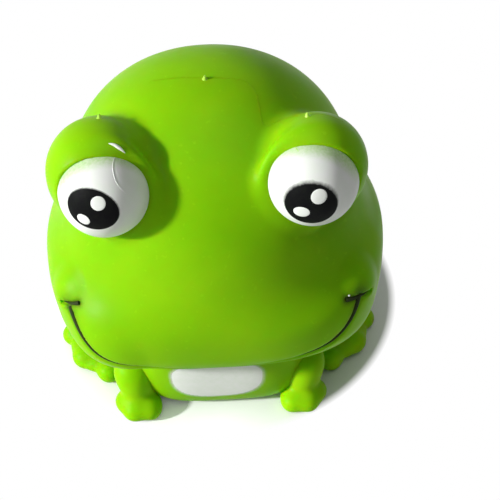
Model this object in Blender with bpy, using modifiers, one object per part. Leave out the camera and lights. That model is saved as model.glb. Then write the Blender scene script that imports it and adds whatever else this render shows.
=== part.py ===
"""Squishy frog toy: a soft moulded frog with a very large head, eyes that pop out and stubby legs.

Lengths are metres, +Z is up and the frog faces -Y. The origin is the middle of the flat base.
Left and right are the frog's own: its left side is at +X.
"""

import math

import bmesh
import bpy
import numpy as np
from mathutils import Matrix, Vector

# Fits
GAP = 0.0003  # between pieces that touch
FILLING_GAP = 0.0006  # round the soft fillings
PATCH_GAP = 0.0006  # between the belly patch and the belly
POP_TRAVEL = 0.0045  # how far each eye pops out

# Head: a tall skull blended with a wide jaw
SKULL_LIFT = 0.0169  # underside of the skull above the floor
SKULL_WIDTH = 0.0594
SKULL_DEPTH = 0.0533
SKULL_HEIGHT = 0.0562
SKULL_BACK = 0.0018  # middle of the skull behind the middle of the base
SKULL_POWER = 2.1
JAW_WIDTH = 0.0673
JAW_DEPTH = 0.0511
JAW_HEIGHT = 0.0218
JAW_FORWARD = 0.0073
JAW_RISE = 0.0120  # middle of the jaw above the underside of the skull
JAW_POWER = 3.02
HEAD_BLEND = 0.014
FACE_WIDTH = 0.050  # a fuller front between the eyes and the mouth
FACE_DEPTH = 0.044
FACE_HEIGHT = 0.040
FACE_FORWARD = 0.006
FACE_RISE = 0.0271  # middle of the face above the underside of the skull
FACE_POWER = 2.0
FACE_BLEND = 0.008
HEAD_WALL = 0.0025
NECK_DIAMETER = 0.020
NECK_CUT = 0.010  # length of the cut that opens the neck

# Eyes: a hollow ball in a lid, with a stem and a lip behind it
EYE_DIAMETER = 0.0178
EYE_BEARING = math.radians(44.5)  # out from straight ahead, seen from the middle of the skull
EYE_RISE = math.radians(30.3)
EYE_PROUD = 0.0032  # middle of the eye outside the bare head
EYE_WALL = 0.0017
POP_SPREAD = math.radians(12)  # the way an eye pops, out from straight ahead
POP_RISE = math.radians(18)
GAZE_SPREAD = math.radians(2)
GAZE_RISE = math.radians(17.6)
LID_DIAMETER = 0.0219
LID_BACK = 0.0056  # middle of the lid behind the middle of the eye
LID_OUT = 0.0009
LID_RISE = 0.0004
LID_BLEND = 0.003
SOCKET_WALL = 0.0020
STEM_DIAMETER = 0.0070
STEM_WALL = 0.0010
LIP_DIAMETER = 0.0094
LIP_THICKNESS = 0.0012
LIP_CLEARANCE = 0.0024  # between the lip and the socket when the eye is out

# Paint on the eyes, as shallow inlays
PUPIL_WIDTH = 0.0102
PUPIL_HEIGHT = 0.0092
PAINT_DEPTH = 0.0005
BIG_GLINT_WIDTH = 0.0031
BIG_GLINT_HEIGHT = 0.0030
BIG_GLINT_PLACE = (0.0013, 0.0010)
SMALL_GLINT_WIDTH = 0.0027
SMALL_GLINT_HEIGHT = 0.0021
SMALL_GLINT_PLACE = (-0.0017, -0.0020)

# Mouth: a painted line in a groove
MOUTH_WIDTH = 0.0582
MOUTH_LOW = 0.0073  # middle of the mouth above the underside of the skull
MOUTH_CURL = 0.0104  # corners of the mouth above its middle
MOUTH_POWER = 6.5
MOUTH_LINE = 0.0010
MOUTH_SINK = 0.0002

# Torso: a rounded box, flat underneath
TORSO_WIDTH = 0.042
TORSO_DEPTH = 0.0506
TORSO_HEIGHT = 0.034
TORSO_SUNK = 0.003  # cut away below the floor
TORSO_POWER = 3.8
TORSO_WALL = 0.0025
PATCH_WIDTH = 0.0194
PATCH_HEIGHT = 0.0130
PATCH_LOW = 0.0027  # lower edge of the belly patch above the floor
PATCH_THICKNESS = 0.0004
PLUG_DIAMETER = 0.0120
PLUG_FLANGE_DIAMETER = 0.0156
PLUG_FLANGE = 0.0012

# Front legs: each lump's middle (out from the side of the torso, ahead of its front, up), then its half sizes
ANKLE_TAPER = 0.35  # wider at the shoulder
FRONT_SHIN_PLACE = (-0.0026, -0.0052, 0.0064)
FRONT_SHIN_HALF = (0.0042, 0.0043, 0.0066)
FRONT_SHIN_LEAN = (0.12, -0.30)
FRONT_SOLE_PLACE = (-0.0034, -0.0028, 0.0021)
FRONT_SOLE_HALF = (0.0042, 0.0040, 0.0026)
FRONT_TOE_HALF = (0.0021, 0.0023, 0.0020)
FRONT_TOE_PLACES = ((-0.0055, -0.0006, 0.0018), (-0.0018, -0.0005, 0.0018), (0.0002, -0.0034, 0.0018))

# Hind legs: each lump's middle (out from the side of the torso, ahead of its middle, up), then its half sizes
THIGH_PLACE = (0.0012, -0.0030, 0.0058)
THIGH_HALF = (0.0086, 0.0120, 0.0068)
HIND_SOLE_PLACE = (0.0052, 0.0050, 0.0026)
HIND_SOLE_HALF = (0.0078, 0.0088, 0.0031)
HIND_TOE_HALF = (0.0028, 0.0028, 0.0026)
HIND_TOE_PLACES = ((0.0123, 0.0020, 0.0025), (0.0093, 0.0083, 0.0026), (0.0036, 0.0128, 0.0025))

# Finish: linear colour and roughness
GREEN = ((0.235, 0.610, 0.006), 0.28)
WHITE = ((0.840, 0.900, 0.780), 0.40)
BLACK = ((0.006, 0.007, 0.006), 0.30)
GREY = ((0.030, 0.045, 0.020), 0.50)
CREAM = ((0.700, 0.720, 0.600), 0.80)

# Derived sizes
SIDES = (("left", 1), ("right", -1))
GLINTS = (
    ("big", BIG_GLINT_WIDTH, BIG_GLINT_HEIGHT, BIG_GLINT_PLACE),
    ("small", SMALL_GLINT_WIDTH, SMALL_GLINT_HEIGHT, SMALL_GLINT_PLACE),
)
SKULL_HALF = np.array((SKULL_WIDTH, SKULL_DEPTH, SKULL_HEIGHT)) / 2
SKULL_MIDDLE = np.array((0, SKULL_BACK, SKULL_LIFT + SKULL_HEIGHT / 2))
JAW_HALF = np.array((JAW_WIDTH, JAW_DEPTH, JAW_HEIGHT)) / 2
JAW_MIDDLE = np.array((0, -JAW_FORWARD, SKULL_LIFT + JAW_RISE))
FACE_HALF = np.array((FACE_WIDTH, FACE_DEPTH, FACE_HEIGHT)) / 2
FACE_MIDDLE = np.array((0, -FACE_FORWARD, SKULL_LIFT + FACE_RISE))
TORSO_HALF = np.array((TORSO_WIDTH, TORSO_DEPTH, TORSO_HEIGHT)) / 2
TORSO_MIDDLE = np.array((0, 0, TORSO_HEIGHT / 2 - TORSO_SUNK))
SHOULDER = np.array((TORSO_WIDTH / 2, TORSO_DEPTH / 2, 0))  # where the front legs are measured from
HIP = np.array((TORSO_WIDTH / 2, 0, 0))
EYE_RADIUS = EYE_DIAMETER / 2
SOCKET_RADIUS = EYE_RADIUS + GAP
CUP_RADIUS = SOCKET_RADIUS + SOCKET_WALL
BORE_RADIUS = STEM_DIAMETER / 2 + GAP
SOCKET_DEPTH = math.sqrt(CUP_RADIUS**2 - BORE_RADIUS**2)  # behind the middle of the eye
LIP_FRONT = SOCKET_DEPTH + POP_TRAVEL + LIP_CLEARANCE
STEM_END = LIP_FRONT + LIP_THICKNESS

# Mesh fineness
HEAD_STEPS = (64, 42)
HOLLOW_STEPS = (28, 18)
TORSO_STEPS = (28, 16)
LEG_STEPS = (12, 8)
TOE_STEPS = (10, 6)
TURN_STEPS = 20
ARC_STEPS = 8
PATCH_RINGS = 2
MOUTH_STEPS = 20
STRIDES = 60
HALVINGS = 30
LONGEST_REACH = 2 * max(SKULL_HEIGHT, JAW_WIDTH, TORSO_DEPTH)
MERGE_LENGTH = 0.00001
MARK_SIZE = 0.006


def rounded(points, middle, half, inset, power):
    """A measure that is negative inside an ellipsoid shrunk by an inset, boxier for a power above 2."""
    spread = (np.abs((points - middle) / (half - inset)) ** power).sum(axis=1)
    return (spread ** (1 / power) - 1) * min(half)


def blended(first, second, length):
    """The union of two measures, rounded where they meet."""
    share = np.clip(0.5 + 0.5 * (second - first) / length, 0, 1)
    return second * (1 - share) + first * share - length * share * (1 - share)


def bearing(spread, rise, side):
    """A direction ahead of the frog, turned out to one side and up."""
    level = math.cos(rise)
    return Vector((side * level * math.sin(spread), -level * math.cos(spread), math.sin(rise)))


def eye_middle(side):
    """The middle of an eye, carried by the size of the head."""
    way = np.array([bearing(EYE_BEARING, EYE_RISE, side)])
    length = reach(lambda points: bare_head(points, 0), SKULL_MIDDLE, way, SKULL_HEIGHT)
    return SKULL_MIDDLE + way[0] * (length[0] + EYE_PROUD)


def looking(forward):
    """A turn whose Z axis is the forward direction and whose Y axis is as near up as can be."""
    right = Vector((0, 0, 1)).cross(forward).normalized()
    return Matrix((right, forward.cross(right), forward)).transposed().to_4x4()


def bare_head(points, inset):
    """The head without its lids, shrunk by an inset."""
    skull = rounded(points, SKULL_MIDDLE, SKULL_HALF, inset, SKULL_POWER)
    jaw = rounded(points, JAW_MIDDLE, JAW_HALF, inset, JAW_POWER)
    face = rounded(points, FACE_MIDDLE, FACE_HALF, inset, FACE_POWER)
    return blended(blended(skull, jaw, HEAD_BLEND), face, FACE_BLEND)


def head_outside(points):
    form = bare_head(points, 0)
    for _, side in SIDES:
        lid_middle = eye_middle(side) + np.array((side * LID_OUT, LID_BACK, LID_RISE))
        lid = np.linalg.norm(points - lid_middle, axis=1) - LID_DIAMETER / 2
        form = blended(form, lid, LID_BLEND)
    return form


def torso_form(points, inset):
    """The torso shrunk by an inset, flat at the floor."""
    form = rounded(points, TORSO_MIDDLE, TORSO_HALF, inset, TORSO_POWER)
    return np.maximum(form, inset - points[:, 2])


def reach(form, middle, directions, longest):
    """How far the nearest surface of a form is from a middle point along each direction."""
    stride = longest / STRIDES
    far = np.full(len(directions), longest)
    for step in range(STRIDES, 0, -1):
        outside = form(middle + directions * stride * step) >= 0
        far = np.where(outside, stride * step, far)
    near = far - stride
    for _ in range(HALVINGS):
        half_way = (near + far) / 2
        inside = form(middle + directions * half_way[:, None]) < 0
        near = np.where(inside, half_way, near)
        far = np.where(inside, far, half_way)
    return near


def soft_shape(form, middle, steps):
    """A sphere drawn in or out onto a form."""
    shape = bmesh.new()
    bmesh.ops.create_uvsphere(shape, u_segments=steps[0], v_segments=steps[1], radius=1)
    directions = np.array([vertex.co.normalized() for vertex in shape.verts])
    lengths = reach(form, middle, directions, LONGEST_REACH)
    for vertex, direction, length in zip(shape.verts, directions, lengths):
        vertex.co = Vector(middle + direction * length)
    return shape


def lump(place, half, side, steps, taper=0.0, lean=(0.0, 0.0)):
    """An egg: an ellipsoid that may widen upwards and lean out and forward as it rises."""
    shape = bmesh.new()
    bmesh.ops.create_uvsphere(shape, u_segments=steps[0], v_segments=steps[1], radius=1)
    for vertex in shape.verts:
        across, along, up = vertex.co
        width = 1 + taper * up
        rise = half[2] * up
        vertex.co.x = side * place[0] + half[0] * across * width + side * lean[0] * rise
        vertex.co.y = -place[1] + half[1] * along * width - lean[1] * rise
        vertex.co.z = place[2] + rise
    return shape


def dome(width, height, place, low, high):
    """An oval slice of a ball round the origin, looking along +Z, between two radii."""
    shape = bmesh.new()
    for across, up in disc_points():
        x = place[0] + across * width / 2
        y = place[1] + up * height / 2
        shape.verts.new((x, y, math.sqrt(EYE_RADIUS**2 - x * x - y * y)))
    disc_faces(shape)
    thicken(shape, lambda corner: corner.normalized(), low - EYE_RADIUS, high - EYE_RADIUS)
    return shape


def disc_points():
    """Corners of a unit disc of rings, in order from its middle outwards."""
    turns = [2 * math.pi * step / TURN_STEPS for step in range(TURN_STEPS)]
    corners = [(0.0, 0.0)]
    for ring in range(1, PATCH_RINGS + 1):
        out = ring / PATCH_RINGS
        corners += [(out * math.cos(angle), out * math.sin(angle)) for angle in turns]
    return corners


def disc_faces(shape):
    """Faces of a disc of rings whose corners are in order from its middle outwards."""
    shape.verts.ensure_lookup_table()
    corners = shape.verts
    for step in range(TURN_STEPS):
        after = (step + 1) % TURN_STEPS
        shape.faces.new((corners[0], corners[1 + step], corners[1 + after]))
        for ring in range(PATCH_RINGS - 1):
            inner = 1 + ring * TURN_STEPS
            outer = inner + TURN_STEPS
            quad = (inner + step, outer + step, outer + after, inner + after)
            shape.faces.new([corners[index] for index in quad])


def thicken(shape, outward, low, high):
    """Turns a sheet into a closed slab from low to high along the outward direction at each corner."""
    ways = {vertex: outward(vertex.co.copy()) for vertex in shape.verts}
    top = list(shape.faces)
    copy = bmesh.ops.duplicate(shape, geom=top + list(shape.edges) + list(shape.verts))
    twin = copy["vert_map"]
    for vertex, way in ways.items():
        base = vertex.co.copy()
        vertex.co = base + way * high
        twin[vertex].co = base + way * low
    under = [face for face in copy["geom"] if isinstance(face, bmesh.types.BMFace)]
    bmesh.ops.reverse_faces(shape, faces=under)
    rims = [edge for edge in shape.edges if edge.is_boundary]
    bmesh.ops.bridge_loops(shape, edges=rims)
    bmesh.ops.recalc_face_normals(shape, faces=list(shape.faces))


def to_mesh(name, shape, origin=(0, 0, 0)):
    """A smooth mesh from a shape in world places, measured from an origin."""
    bmesh.ops.translate(shape, verts=list(shape.verts), vec=-Vector(origin))
    mesh = bpy.data.meshes.new(name)
    shape.to_mesh(mesh)
    shape.free()
    mesh.shade_smooth()
    return mesh


def turned_mesh(name, profile):
    """The outline of a turned piece, as (radius, height) corners down its outer side."""
    mesh = bpy.data.meshes.new(name)
    corners = [(radius, 0, height) for radius, height in profile]
    links = [(index, index + 1) for index in range(len(corners) - 1)]
    mesh.from_pydata(corners, links, [])
    return mesh


def turn(piece):
    """Spins the outline of a piece round its Z axis."""
    screw = piece.modifiers.new("turn", "SCREW")
    screw.axis = "Z"
    screw.steps = TURN_STEPS
    screw.render_steps = TURN_STEPS
    screw.use_merge_vertices = True
    screw.merge_threshold = MERGE_LENGTH
    screw.use_smooth_shade = True


def arc(radius, start, end):
    """Corners (radius, height) of an arc whose angles are from the +Z axis."""
    angles = [start + (end - start) * step / ARC_STEPS for step in range(ARC_STEPS + 1)]
    return [(abs(radius * math.sin(angle)), radius * math.cos(angle)) for angle in angles]


def paint(name, finish):
    colour, roughness = finish
    material = bpy.data.materials.new(name)
    material.use_nodes = True
    shader = material.node_tree.nodes["Principled BSDF"]
    shader.inputs["Base Color"].default_value = (*colour, 1)
    shader.inputs["Roughness"].default_value = roughness
    shader.inputs["Metallic"].default_value = 0
    return material


def add_piece(name, mesh, finish, parent):
    """A named part of the frog with a material of its own."""
    piece = bpy.data.objects.new(name, mesh)
    mesh.materials.append(paint(name, finish))
    parts.objects.link(piece)
    piece.parent = parent
    return piece


def add_cutter(name, mesh, parent):
    cutter = bpy.data.objects.new(name, mesh)
    cutters.objects.link(cutter)
    cutter.parent = parent
    cutter.hide_render = True
    cutter.display_type = "WIRE"
    return cutter


def shape_with(piece, operation, other):
    change = piece.modifiers.new(other.name, "BOOLEAN")
    change.operation = operation
    change.solver = "EXACT"
    change.object = other


def add_empty(name, frame, parent):
    """A frame to hang pieces on, given in the frame of its parent."""
    empty = bpy.data.objects.new(name, None)
    empty.empty_display_size = MARK_SIZE
    parts.objects.link(empty)
    empty.parent = parent
    empty.matrix_basis = frame
    return empty


def add_head(head, neck):
    """The hollow head with its filling, neck opening and mouth."""
    shape = soft_shape(head_outside, SKULL_MIDDLE, HEAD_STEPS)
    skin = add_piece("head_skin", to_mesh("head_skin", shape, neck), GREEN, head)
    shape = soft_shape(lambda points: bare_head(points, HEAD_WALL), SKULL_MIDDLE, HOLLOW_STEPS)
    hollow = add_cutter("head_hollow", to_mesh("head_hollow", shape, neck), head)
    shape_with(skin, "DIFFERENCE", hollow)
    opening = bmesh.new()
    bmesh.ops.create_cone(
        opening,
        cap_ends=True,
        segments=TURN_STEPS,
        radius1=NECK_DIAMETER / 2,
        radius2=NECK_DIAMETER / 2,
        depth=NECK_CUT,
    )
    shape_with(skin, "DIFFERENCE", add_cutter("neck_opening", to_mesh("neck_opening", opening), head))
    inset = HEAD_WALL + FILLING_GAP
    shape = soft_shape(lambda points: bare_head(points, inset), SKULL_MIDDLE, HOLLOW_STEPS)
    filling = add_piece("head_filling", to_mesh("head_filling", shape, neck), CREAM, head)
    path = mouth_path()
    add_piece("mouth_line", mouth_tube("mouth_line", path, MOUTH_LINE / 2, neck), GREY, head)
    tube = mouth_tube("mouth_groove", path, MOUTH_LINE / 2 + GAP, neck)
    shape_with(skin, "DIFFERENCE", add_cutter("mouth_groove", tube, head))
    return skin, hollow, filling


def mouth_path():
    """Points of the smile on the face, from corner to corner."""
    angles = [math.pi * (step / MOUTH_STEPS - 0.5) for step in range(MOUTH_STEPS + 1)]
    across = np.array([math.sin(angle) for angle in angles])
    up = SKULL_LIFT + MOUTH_LOW + MOUTH_CURL * np.abs(across) ** MOUTH_POWER
    start = np.stack([across * MOUTH_WIDTH / 2, np.full(len(across), JAW_MIDDLE[1]), up], axis=1)
    forward = np.tile((0.0, -1.0, 0.0), (len(start), 1))
    lengths = reach(head_outside, start, forward, JAW_DEPTH)
    return start + forward * (lengths - MOUTH_SINK)[:, None]


def mouth_tube(name, path, radius, origin):
    """A round bead along the smile, with closed ends."""
    curve = bpy.data.curves.new(name, "CURVE")
    curve.dimensions = "3D"
    curve.bevel_depth = radius
    curve.bevel_resolution = 1
    curve.use_fill_caps = True
    spline = curve.splines.new("POLY")
    spline.points.add(len(path) - 1)
    for point, place in zip(spline.points, path):
        point.co = (*(Vector(place) - Vector(origin)), 1)
    holder = bpy.data.objects.new(name + "_curve", curve)
    mesh = bpy.data.meshes.new_from_object(holder)
    bpy.data.objects.remove(holder)
    shape = bmesh.new()
    shape.from_mesh(mesh)
    bmesh.ops.remove_doubles(shape, verts=list(shape.verts), dist=MERGE_LENGTH)
    bmesh.ops.recalc_face_normals(shape, faces=list(shape.faces))
    return to_mesh(name, shape)


def add_eye(name, side, head, neck, skin, hollow, filling):
    """One eye: the ball on its stem, its pupil and glints, and its socket in the head."""
    pop_turn = looking(bearing(POP_SPREAD, POP_RISE, side))
    place = Matrix.Translation(Vector(eye_middle(side)) - Vector(neck))
    axis = add_empty(name + "_eye_axis", place @ pop_turn, head)
    gaze_turn = looking(bearing(GAZE_SPREAD, GAZE_RISE, side))
    gaze = add_empty(name + "_gaze", pop_turn.inverted() @ gaze_turn, axis)
    stem = STEM_DIAMETER / 2
    stem_inside = stem - STEM_WALL
    inside = EYE_RADIUS - EYE_WALL
    profile = arc(EYE_RADIUS, 0, math.pi - math.asin(stem / EYE_RADIUS))
    profile += [(stem, -LIP_FRONT), (LIP_DIAMETER / 2, -LIP_FRONT), (LIP_DIAMETER / 2, -STEM_END)]
    profile += [(stem_inside, -STEM_END)]
    profile += arc(inside, math.pi - math.asin(stem_inside / inside), 0)
    bulb = add_piece(name + "_eye_bulb", turned_mesh(name + "_eye_bulb", profile), WHITE, axis)
    turn(bulb)

    back = math.pi - math.asin(BORE_RADIUS / SOCKET_RADIUS)
    front = LID_DIAMETER
    profile = [(0, front), (SOCKET_RADIUS, front)] + arc(SOCKET_RADIUS, math.pi / 2, back)
    profile += [(BORE_RADIUS, -STEM_END), (0, -STEM_END)]
    socket = add_cutter(name + "_socket", turned_mesh(name + "_socket", profile), axis)
    turn(socket)
    shape_with(skin, "DIFFERENCE", socket)
    cup = add_cutter(name + "_cup", turned_mesh(name + "_cup", arc(CUP_RADIUS, 0, math.pi)), axis)
    turn(cup)
    shape_with(hollow, "DIFFERENCE", cup)
    pocket_radius = LIP_DIAMETER / 2 + FILLING_GAP
    cup_room = CUP_RADIUS + FILLING_GAP
    profile = arc(cup_room, 0, math.pi - math.asin(pocket_radius / cup_room))
    profile += [(pocket_radius, -STEM_END - FILLING_GAP), (0, -STEM_END - FILLING_GAP)]
    pocket = add_cutter(name + "_pocket", turned_mesh(name + "_pocket", profile), axis)
    turn(pocket)
    shape_with(filling, "DIFFERENCE", pocket)

    floor = EYE_RADIUS - PAINT_DEPTH
    above = EYE_RADIUS + PAINT_DEPTH
    middle = (0, 0)
    shape = dome(PUPIL_WIDTH, PUPIL_HEIGHT, middle, floor, EYE_RADIUS)
    pupil = add_piece(name + "_pupil", to_mesh(name + "_pupil", shape), BLACK, gaze)
    shape = dome(PUPIL_WIDTH + 2 * GAP, PUPIL_HEIGHT + 2 * GAP, middle, floor - GAP, above)
    bed = add_cutter(name + "_pupil_bed", to_mesh(name + "_pupil_bed", shape), gaze)
    shape_with(bulb, "DIFFERENCE", bed)
    for label, width, height, place in GLINTS:
        glint_name = f"{name}_{label}_glint"
        shape = dome(width, height, place, floor, EYE_RADIUS)
        add_piece(glint_name, to_mesh(glint_name, shape), WHITE, gaze)
        hole_name = glint_name + "_hole"
        shape = dome(width + 2 * GAP, height + 2 * GAP, place, floor - GAP, above)
        shape_with(pupil, "DIFFERENCE", add_cutter(hole_name, to_mesh(hole_name, shape), gaze))


def add_torso(frog):
    """The hollow torso with its filling, plug and belly patch."""
    shape = soft_shape(lambda points: torso_form(points, 0), TORSO_MIDDLE, TORSO_STEPS)
    skin = add_piece("torso_skin", to_mesh("torso_skin", shape), GREEN, frog)
    shape = soft_shape(lambda points: torso_form(points, TORSO_WALL), TORSO_MIDDLE, TORSO_STEPS)
    shape_with(skin, "DIFFERENCE", add_cutter("torso_hollow", to_mesh("torso_hollow", shape), frog))
    shape = soft_shape(lambda points: bare_head(points, -GAP), SKULL_MIDDLE, HEAD_STEPS)
    head_room = add_cutter("head_room", to_mesh("head_room", shape), frog)
    shape_with(skin, "DIFFERENCE", head_room)
    inset = TORSO_WALL + FILLING_GAP
    shape = soft_shape(lambda points: torso_form(points, inset), TORSO_MIDDLE, TORSO_STEPS)
    filling = add_piece("torso_filling", to_mesh("torso_filling", shape), CREAM, frog)
    shape_with(filling, "DIFFERENCE", head_room)

    plug = PLUG_DIAMETER / 2
    flange = PLUG_FLANGE_DIAMETER / 2
    flange_low = TORSO_WALL + GAP
    flange_high = flange_low + PLUG_FLANGE
    profile = [(0, flange_high), (flange, flange_high), (flange, flange_low)]
    profile += [(plug, flange_low), (plug, 0), (0, 0)]
    turn(add_piece("base_plug", turned_mesh("base_plug", profile), GREEN, frog))
    low = -TORSO_WALL
    room = [(0, flange_high + GAP), (flange + GAP, flange_high + GAP), (flange + GAP, flange_low - GAP)]
    hole = [(plug + GAP, flange_low - GAP), (plug + GAP, low), (0, low)]
    plug_room = add_cutter("plug_room", turned_mesh("plug_room", room + hole), frog)
    turn(plug_room)
    shape_with(filling, "DIFFERENCE", plug_room)
    straight = [(0, flange_low + GAP), (plug + GAP, flange_low + GAP), (plug + GAP, low), (0, low)]
    plug_hole = add_cutter("plug_hole", turned_mesh("plug_hole", straight), frog)
    turn(plug_hole)
    shape_with(skin, "DIFFERENCE", plug_hole)
    add_piece("belly_patch", patch_mesh(), WHITE, frog)


def patch_mesh():
    """The white oval on the belly, lying on the front of the torso."""
    shape = bmesh.new()
    height = PATCH_LOW + PATCH_HEIGHT / 2
    flat = [(x * PATCH_WIDTH / 2, 0, height + z * PATCH_HEIGHT / 2) for x, z in disc_points()]
    start = np.array(flat)
    forward = np.tile((0.0, -1.0, 0.0), (len(start), 1))
    lengths = reach(lambda points: torso_form(points, 0), start, forward, TORSO_DEPTH)
    for place in start + forward * lengths[:, None]:
        shape.verts.new(place)
    disc_faces(shape)
    shape.normal_update()
    thicken(shape, lambda corner: Vector((0, -1, 0)), PATCH_GAP, PATCH_GAP + PATCH_THICKNESS)
    return to_mesh("belly_patch", shape)


def add_leg(name, lumps, frog, torso_room, floor):
    """A limb of joined lumps, cut flat at the floor and parted from the torso."""
    first, *others = lumps
    limb = add_piece(name, to_mesh(name, first), GREEN, frog)
    for number, other in enumerate(others):
        lump_name = f"{name}_lump_{number}"
        shape_with(limb, "UNION", add_cutter(lump_name, to_mesh(lump_name, other), frog))
    shape_with(limb, "DIFFERENCE", torso_room)
    shape_with(limb, "DIFFERENCE", floor)


def add_legs(frog):
    shape = soft_shape(lambda points: torso_form(points, -GAP), TORSO_MIDDLE, TORSO_STEPS)
    torso_room = add_cutter("torso_room", to_mesh("torso_room", shape), frog)
    block = bmesh.new()
    bmesh.ops.create_cube(block, size=2 * SKULL_HEIGHT)
    bmesh.ops.translate(block, verts=list(block.verts), vec=(0, 0, -SKULL_HEIGHT))
    floor = add_cutter("floor", to_mesh("floor", block), frog)
    for name, side in SIDES:
        shin = SHOULDER + FRONT_SHIN_PLACE
        lumps = [lump(shin, FRONT_SHIN_HALF, side, LEG_STEPS, ANKLE_TAPER, FRONT_SHIN_LEAN)]
        lumps.append(lump(SHOULDER + FRONT_SOLE_PLACE, FRONT_SOLE_HALF, side, LEG_STEPS))
        lumps += [lump(SHOULDER + place, FRONT_TOE_HALF, side, TOE_STEPS) for place in FRONT_TOE_PLACES]
        add_leg(name + "_front_leg", lumps, frog, torso_room, floor)
        lumps = [lump(HIP + THIGH_PLACE, THIGH_HALF, side, LEG_STEPS)]
        lumps.append(lump(HIP + HIND_SOLE_PLACE, HIND_SOLE_HALF, side, LEG_STEPS))
        lumps += [lump(HIP + place, HIND_TOE_HALF, side, TOE_STEPS) for place in HIND_TOE_PLACES]
        add_leg(name + "_hind_leg", lumps, frog, torso_room, floor)


for old in list(bpy.data.objects):
    bpy.data.objects.remove(old)
parts = bpy.data.collections.new("squishy_frog")
cutters = bpy.data.collections.new("squishy_frog_cutters")
bpy.context.scene.collection.children.link(parts)
bpy.context.scene.collection.children.link(cutters)
frog_root = add_empty("frog", Matrix.Identity(4), None)
neck_place = (0, 0, SKULL_LIFT)
head_root = add_empty("head_slide", Matrix.Translation(neck_place), frog_root)
head_pieces = add_head(head_root, neck_place)
for side_name, side_sign in SIDES:
    add_eye(side_name, side_sign, head_root, neck_place, *head_pieces)
add_torso(frog_root)
add_legs(frog_root)
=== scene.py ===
"""Looks of the squishy frog toy: glossy green rubber with painted eyes, mouth and belly.

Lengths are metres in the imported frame: +Z is up, the frog faces -Y and its own left is at +X.
"""

import itertools
import math

import bpy
import numpy as np
from mathutils import Matrix, Vector


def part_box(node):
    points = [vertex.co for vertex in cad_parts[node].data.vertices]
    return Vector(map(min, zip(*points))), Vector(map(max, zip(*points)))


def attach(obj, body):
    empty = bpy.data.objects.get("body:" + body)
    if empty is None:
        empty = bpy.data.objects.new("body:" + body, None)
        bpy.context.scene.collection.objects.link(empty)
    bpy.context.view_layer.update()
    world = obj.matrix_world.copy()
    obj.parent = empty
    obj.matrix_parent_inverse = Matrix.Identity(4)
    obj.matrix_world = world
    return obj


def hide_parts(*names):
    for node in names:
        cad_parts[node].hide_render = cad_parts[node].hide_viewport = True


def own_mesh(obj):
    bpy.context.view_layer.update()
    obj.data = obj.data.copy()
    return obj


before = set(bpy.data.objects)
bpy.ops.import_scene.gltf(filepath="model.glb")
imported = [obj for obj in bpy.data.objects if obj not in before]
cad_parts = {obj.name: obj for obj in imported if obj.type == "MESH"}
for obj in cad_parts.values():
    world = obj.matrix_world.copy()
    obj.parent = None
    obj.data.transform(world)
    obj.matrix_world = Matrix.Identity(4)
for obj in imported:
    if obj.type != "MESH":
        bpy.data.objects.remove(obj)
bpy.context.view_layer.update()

SIDES = (("left", 1), ("right", -1))
FORWARD = np.array((0, -1, 0))  # the way the frog faces

# Camera, as the photograph was taken
CAMERA_PLACE = Vector((0.00627, -0.20432, 0.23050))
CAMERA_AIM = Vector((0.00732, -0.00697, 0.03188))
CAMERA_ROLL = math.radians(-2.95)
CAMERA_LENS = 94.5  # millimetres on a 36 mm sensor
CAMERA_NEAR = 0.01

# Head: a tall skull blended with a wide jaw and a full face
SKULL_MIDDLE = np.array((0, 0.0018, 0.0450))
SKULL_HALF = np.array((0.0297, 0.02665, 0.0281))
SKULL_POWER = 2.1
JAW_MIDDLE = np.array((0, -0.0073, 0.0289))
JAW_HALF = np.array((0.03365, 0.02555, 0.0109))
JAW_POWER = 3.02
FACE_MIDDLE = np.array((0, -0.0060, 0.0440))
FACE_HALF = np.array((0.025, 0.022, 0.020))
FACE_POWER = 2.0
HEAD_BLEND = 0.014
FACE_BLEND = 0.008
# Each lid's radius, and how far out, back and up of the eye its middle is
LIDS = {"left": (0.0099, (0.00105, 0.0043, 0.0004)), "right": (0.0106, (0.0009, 0.0056, 0.0004))}
LID_BLEND = 0.003
CHEEK_RADIUS = 0.0040
CHEEK_PLACE = (0.0298, 0.0372)  # out and up
CHEEK_PROUD = 0.0003
CHEEK_BLEND = 0.0030
JOWL_MIDDLE = (-0.01959, -0.02169, 0.02772)  # the jaw is fuller on the frog's right
JOWL_RADIUS = 0.008
JOWL_BLEND = 0.004

# Eyes
EYE_MIDDLE = (0.01993, -0.01848, 0.06161)
EYE_RADIUS = 0.0089
POP_SPREAD = math.radians(12)
POP_RISE = math.radians(18)
SOCKET_GRIP = 0.0009  # how far the soft rim presses into the eye
RIM_ROUND = 0.0010
RING_RADIUS = 0.0093  # of the raised rim round the eye
RING_THICK = 0.0006
RING_OFFSET = (-0.0006, 0.0006, 0)  # out, back and up
RING_BLEND = 0.0028
STEM_RADIUS = 0.0035
STEM_END = 0.0186  # behind the middle of the eye
LIP_RADIUS = 0.0047
LIP_FRONT = 0.0174  # behind the middle of the eye

# Each eye's paint, in degrees: spread and rise of an oval's middle, its half angles and its tilt
EYE_MARKS = {
    "right": {
        "pupil": ((12.8, 16.6), (34.0, 27.5), -14),
        "big_glint": ((3.1, 27.4), (10.0, 10.0), -20),
        "small_glint": ((23.6, 3.7), (9.5, 8.0), -25),
    },
    "left": {
        "pupil": ((-6.8, 5.5), (33.5, 31.0), 5),
        "big_glint": ((3.7, 20.6), (11.0, 10.5), 30),
        "small_glint": ((-18.0, -2.1), (11.5, 9.0), 10),
    },
}
PUPIL_FILM = 0.00006
GLINT_FILM = 0.00010
FILM_SINK = 3  # a film's underside is this many thicknesses inside the eye
FILM_POWER = 8  # high, so that a film thins only close to its edge
# Spread and rise in degrees of points along the crease in one eye's paint and the crack in the other's
CREASE = ((-121, 65), (-92, 71), (-52, 69), (-37, 61), (-31, 49), (-34, 39), (-39, 29))
CRACK = ((-99, 67), (-81, 70), (-63, 70))
CREASE_RADIUS = 0.00008
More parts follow.
